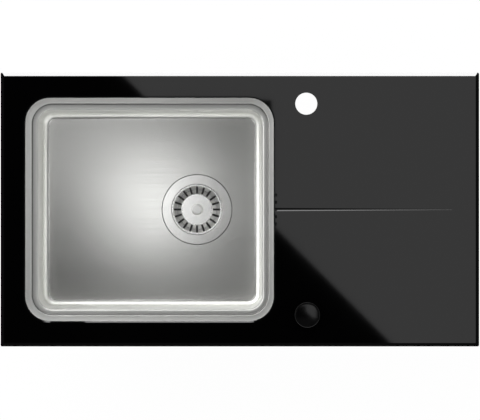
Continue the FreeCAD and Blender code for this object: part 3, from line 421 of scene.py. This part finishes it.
def moulded(name, dark, light, rough, scale=1300.0):
    """Moulded plastic or rubber with a fine grain and a slow change of tone."""
    material, inputs, shade = finish(name)
    skin = grain(shade, scale, detail=3.0)
    slow = grain(shade, 25.0, detail=3.0)
    shade.feed(inputs["Base Color"], two_tone(shade, slow * 0.7 + skin * 0.3, dark, light))
    shade.feed(inputs["Roughness"], skin * 0.1 + slow * 0.1 + (rough - 0.1))
    shade.feed(inputs["Normal"], relief(shade, skin, 0.00003))
    return material


black_rubber = moulded("black_rubber", (0.012, 0.012, 0.012), (0.03, 0.03, 0.031), 0.72)
dress(black_rubber, "flange_gasket", "body_gasket")


# Waste body: white polypropylene under the floor, with ribs, a gland for the lever and a screwed
# outlet. A hollow stainless screw draws the flange and the body together, and the pin in it lifts.
white_plastic = moulded("white_plastic", (0.74, 0.74, 0.72), (0.84, 0.84, 0.82), 0.42)
bright_steel = spun("bright_steel", (0.68, 0.68, 0.67), 0.2)
dress(white_plastic, "waste_body")
dress(bright_steel, "clamp_screw", "lift_pin")


# Outlet tail: the waste body's 1 1/2 inch pipe thread, for the trap's union nut.
# It is moulded in one with the body, of the same white polypropylene.
tail_low, tail_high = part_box("outlet_tail")
tail_crest_r, tail_root_r, tail_pitch = 0.0239, 0.0225, 0.0023
tail_bore_r, tail_steps = 0.0199, 64
bm = bmesh.new()
ends = thread(bm, tail_crest_r, tail_root_r, tail_pitch, tail_low.z, tail_high.z, tail_steps)
bores = []
for level in (tail_low.z, tail_high.z):
    bore = bmesh.ops.create_circle(bm, radius=tail_bore_r, segments=tail_steps)["verts"]
    bmesh.ops.translate(bm, vec=(0, 0, level), verts=bore)
    bores.append(edges_among(bm, bore))
    outer = [edge for edge in ends if abs(edge.verts[0].co.z - level) < hair]
    bmesh.ops.bridge_loops(bm, edges=outer + bores[-1])
bmesh.ops.bridge_loops(bm, edges=bores[0] + bores[1])
bmesh.ops.recalc_face_normals(bm, faces=bm.faces)
bmesh.ops.translate(bm, vec=(waste_x, 0, 0), verts=bm.verts)
outlet_thread = add_piece("outlet_thread", bm, "sink", white_plastic)
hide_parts("outlet_tail")


# Strainer basket: a dish pressed from stainless sheet, with 20 slots punched round its middle.
# A turned handle holds it to a stem below, with a rubber seal that closes the waste.
basket_steel = spun("basket_steel", (0.69, 0.69, 0.68), 0.26, slope=0.5)
handle_steel = spun("handle_steel", (0.67, 0.67, 0.66), 0.29, slope=0.4)
dress(basket_steel, "basket_cup")
dress(handle_steel, "basket_handle")
dress(bright_steel, "basket_stem")
dress(black_rubber, "basket_seal")


# Lever, crank and control cable: a steel shaft through the waste body lifts the pin when the cable
# pulls. The cable's sheath runs up beside the bowl to the drive under the knob, held by two clips.
black_plastic = moulded("black_plastic", (0.014, 0.014, 0.015), (0.034, 0.034, 0.036), 0.5)
cable_jacket = moulded("cable_jacket", (0.01, 0.01, 0.01), (0.024, 0.024, 0.025), 0.36, 700.0)
dress(zinc_steel, "lever_shaft", "cable_wire", "cable_ferrule")
dress(black_plastic, "crank_arm", "cable_clips")
dress(black_rubber, "shaft_ring")
dress(cable_jacket, "cable_sheath")


# Control knob: a turned cap, gloss black with a low dome, whose hub grips a steel spindle.
# The spindle turns the cable's spool in a plastic drive housing, which hangs under the glass,
# held by a nut on its neck above.
knob_dark, knob_light = (0.0015, 0.0015, 0.0016), (0.004, 0.004, 0.0042)
gloss_black, inputs, shade = finish("gloss_black", IOR=1.5)
smear = grain(shade, 60.0, detail=4.0)
shade.feed(inputs["Base Color"], two_tone(shade, smear, knob_dark, knob_light))
shade.feed(inputs["Roughness"], smear * 0.06 + 0.06 + lean(shade) * 0.6)

knob_low, knob_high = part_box("knob_cap")
knob_mid = (knob_low + knob_high) / 2
knob_foot, knob_top = knob_low.z, knob_high.z
knob_r = (knob_high.x - knob_low.x) / 2
knob_edge_r = 0.0015
inner_r = knob_r - 0.0016
inner_top = knob_top - 0.005
hub_r, hub_foot = 0.008, knob_foot + 0.007
bore_r, bore_top = 0.00495, knob_foot + 0.016
crown_tilt = math.radians(2.8)
crown_r = (knob_r - knob_edge_r) / math.sin(crown_tilt) + knob_edge_r
sharpest = math.radians(30)


def arc(bm, start, centre_r, centre_z, angle):
    """Wind a vertex outwards about a centre in the XZ plane, and give the arc's last vertex."""
    turn = {"cent": (centre_r, 0, centre_z), "axis": (0, 1, 0), "angle": angle, "steps": 8}
    made = bmesh.ops.spin(bm, geom=[start], **turn)["geom_last"]
    return next(item for item in made if isinstance(item, bmesh.types.BMVert))


bm = bmesh.new()
last = arc(bm, bm.verts.new((0, 0, knob_top)), 0, knob_top - crown_r, crown_tilt)
edge_z = last.co.z - knob_edge_r * math.cos(crown_tilt)
last = arc(bm, last, knob_r - knob_edge_r, edge_z, math.pi / 2 - crown_tilt)
for radius, level in (
        (knob_r, knob_foot), (inner_r, knob_foot), (inner_r, inner_top), (hub_r, inner_top),
        (hub_r, hub_foot), (bore_r, hub_foot), (bore_r, bore_top), (0, bore_top)):
    corner = bm.verts.new((radius, 0, level))
    bm.edges.new((last, corner))
    last = corner
line = bm.verts[:] + bm.edges[:]
bmesh.ops.spin(bm, geom=line, axis=(0, 0, 1), angle=2 * math.pi, steps=96, use_merge=True)
bmesh.ops.remove_doubles(bm, verts=bm.verts, dist=hair)
bmesh.ops.recalc_face_normals(bm, faces=bm.faces)
for face in bm.faces:
    face.smooth = True
for seam in bm.edges:
    seam.smooth = seam.calc_face_angle(0.0) < sharpest
bmesh.ops.translate(bm, vec=(knob_mid.x, knob_mid.y, 0), verts=bm.verts)
control_knob = add_piece("control_knob", bm, "knob", gloss_black)
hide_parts("knob_cap")
dress(zinc_steel, "knob_spindle", "cover_screws")
dress(black_plastic, "cable_spool", "knob_nut", "drive_housing", "housing_cover")
dress(black_rubber, "knob_washer", "housing_gasket")


# Overflow: a slotted stainless cover, flush in a pocket of the back wall and screwed to a plastic
# head behind it. A plastic pipe with two ring nuts leads down to the waste body.
dress(satin_steel, "overflow_cover")
dress(bright_steel, "overflow_screw")
dress(black_rubber, "overflow_gasket")
dress(white_plastic, "overflow_head", "overflow_pipe", "overflow_nuts")


# Studio floor: a pale sheet just under the sink, which keeps its shadow and can be seen through
# from below.
white = (1.0, 1.0, 1.0, 1.0)
floor_width, floor_gap = 14.0, 0.004
floor_paint, floor_glow = (0.8, 0.8, 0.8, 1.0), 0.96


def plane(name, size, place, material):
    """A level sheet of the studio."""
    bm = bmesh.new()
    bmesh.ops.create_grid(bm, x_segments=1, y_segments=1, size=0.5)
    bmesh.ops.scale(bm, vec=(*size, 1.0), verts=bm.verts)
    bmesh.ops.translate(bm, vec=place, verts=bm.verts)
    mesh = bpy.data.meshes.new(name)
    bm.to_mesh(mesh)
    bm.free()
    mesh.materials.append(material)
    piece = bpy.data.objects.new(name, mesh)
    scene.collection.objects.link(piece)
    return piece


def seen_rays(shade):
    """1 for rays from the camera, and for those that metal and glass send on."""
    path = shade.node("LightPath", output="Is Camera Ray")
    for kind in ("Is Glossy Ray", "Is Transmission Ray"):
        path = shade.sum("MAXIMUM", path, shade.node("LightPath", output=kind))
    return path


floor_white = bpy.data.materials.new("floor_white")
floor_white.use_nodes = True
shade = Shade(floor_white.node_tree)
paint = shade.node("BsdfDiffuse", {}, {"Color": floor_paint})
glow = shade.node("Emission", {}, {"Color": white, "Strength": 1.0})
upper = shade.node("MixShader", {}, {0: seen_rays(shade) * floor_glow, 1: paint, 2: glow})
clear = shade.node("BsdfTransparent")
beneath = shade.node("NewGeometry", output="Backfacing")
both = shade.node("MixShader", {}, {0: beneath, 1: upper, 2: clear})
shade.feed(floor_white.node_tree.nodes["Material Output"].inputs["Surface"], both)
floor_place = (0.0, 0.0, cad_box[0][2] - floor_gap)
plane("floor", (floor_width, floor_width), floor_place, floor_white)


# Studio card: it hangs high above the camera, black and white, for the glass to mirror.
# Its slanted edge shows across the panel. Its size is what the camera sees of it there.
card_height, card_size, card_level = 8.6, (1.8, 1.1), 0.95
card_scale = 1 + (card_height - panel_top) / view_height
slant = 0.028 * card_scale
bowl_right, bowl_back = 0.05 * card_scale, 0.174 * card_scale


def card_finish(name, strength):
    """A card that glows by itself."""
    material = bpy.data.materials.new(name)
    material.use_nodes = True
    shade = Shade(material.node_tree)
    glow = shade.node("Emission", {}, {"Color": white, "Strength": strength})
    shade.feed(material.node_tree.nodes["Material Output"].inputs["Surface"], glow)
    return material


card = plane("card", card_size, (0.0, 0.0, card_height), card_finish("card_dark", 0.0))
card.data.materials.append(card_finish("card_white", card_level))
bm = bmesh.new()
bm.from_mesh(card.data)
for way, far in (((1, 1, 0), slant), ((1, 0, 0), bowl_right), ((0, 1, 0), bowl_back)):
    whole = bm.verts[:] + bm.edges[:] + bm.faces[:]
    place = Vector(way) * far / Vector(way).length_squared
    cut = {"plane_co": (place.x, place.y, card_height), "plane_no": way}
    bmesh.ops.bisect_plane(bm, geom=whole, **cut)
for face in bm.faces:
    middle = face.calc_center_median()
    beside = middle.x > bowl_right or middle.y > bowl_back
    face.material_index = 1 if middle.x + middle.y > slant and beside else 0
bm.to_mesh(card.data)
bm.free()


# Studio surround: white behind the sink, soft and even on plain surfaces, and for metal and glass
# pale at the horizon and dim overhead.
soft_light = (0.45, 0.45, 0.45, 1.0)
sky_levels = [(0.06, 0.9), (0.25, 0.12), (0.9, 0.05)]  # rise and brightness
world = bpy.data.worlds.new("surround")
world.use_nodes = True
scene.world = world
shade = Shade(world.node_tree)
stops = [(rise_of_ray, (level, level, level)) for rise_of_ray, level in sky_levels]
sky = shade.node("ValToRGB", {"stops": stops}, {0: axis_of(shade, "Generated", 2)})
soft, mirrored, straight = [
    shade.node("Background", {}, {"Color": colour, "Strength": 1.0})
    for colour in (soft_light, sky, white)]
from_camera = shade.node("LightPath", output="Is Camera Ray")
path = shade.node("MixShader", {}, {0: seen_rays(shade), 1: soft, 2: mirrored})
path = shade.node("MixShader", {}, {0: from_camera, 1: path, 2: straight})
shade.feed(world.node_tree.nodes["World Output"].inputs["Surface"], path)


# Studio lamps: two round ones over the bowl's floor and six soft boxes round its walls, all kept
# off the glass and the knob, where none is to be mirrored. Two strips light the back edge's bevel
# and the drain groove.
lamp_height, panel_distance, panel_width = 0.92, 1.6, 1.3


def lamp(name, place, aim, size, radiance):
    """Area lamp of that size and radiance, turned from its place towards its aim."""
    data = bpy.data.lights.new(name, "AREA")
    data.shape = "ELLIPSE" if size[0] == size[1] else "RECTANGLE"
    data.size, data.size_y = size
    area = size[0] * size[1] * (math.pi / 4 if data.shape == "ELLIPSE" else 1)
    data.energy = radiance * math.pi * area
    made = bpy.data.objects.new(name, data)
    made.location = place
    made.rotation_euler = (Vector(place) - Vector(aim)).to_track_quat("Z", "Y").to_euler()
    scene.collection.objects.link(made)
    return made


off_glass = bpy.data.collections.new("off_glass")
for piece in (frame["nodes"]["glass_top"], control_knob):
    off_glass.objects.link(piece)
for kept in off_glass.collection_objects:
    kept.light_linking.link_state = "EXCLUDE"


for name, (x, y), width, radiance in (
        ("bowl_lamp", (-0.161, 0.0187), 0.17, 4.3),
        ("bowl_halo", (-0.3, 0.13), 0.2, 0.9)):
    made = lamp(name, (x, y, lamp_height), (x, y, floor_level), (width, width), radiance)
    made.light_linking.receiver_collection = off_glass

for name, azimuth, zenith, tall, radiance in (
        ("left_panel", 180, 55, 0.9, 3.6),
        ("back_left_panel", 135, 55, 0.9, 3.6),
        ("back_panel", 90, 55, 0.9, 3.6),
        ("right_panel", 0, 60, 0.75, 1.4),
        ("front_right_panel", 315, 60, 0.75, 2.2),
        ("front_panel", 270, 60, 0.75, 1.4)):
    turn, tip = math.radians(azimuth), math.radians(zenith)
    across = math.sin(tip)
    way = Vector((across * math.cos(turn), across * math.sin(turn), math.cos(tip)))
    place = bowl_mid + way * panel_distance
    made = lamp(name, place, bowl_mid, (panel_width, tall), radiance)
    made.light_linking.receiver_collection = off_glass

lamp("back_strip", (0.0, 1.295, 1.23), (0.0, 0.215, 0.009), (1.0, 0.02), 24.0)
lamp("groove_strip", (0.2, 1.5, 0.58), (0.2, 0.0, 0.0), (1.0, 0.08), 5.0)
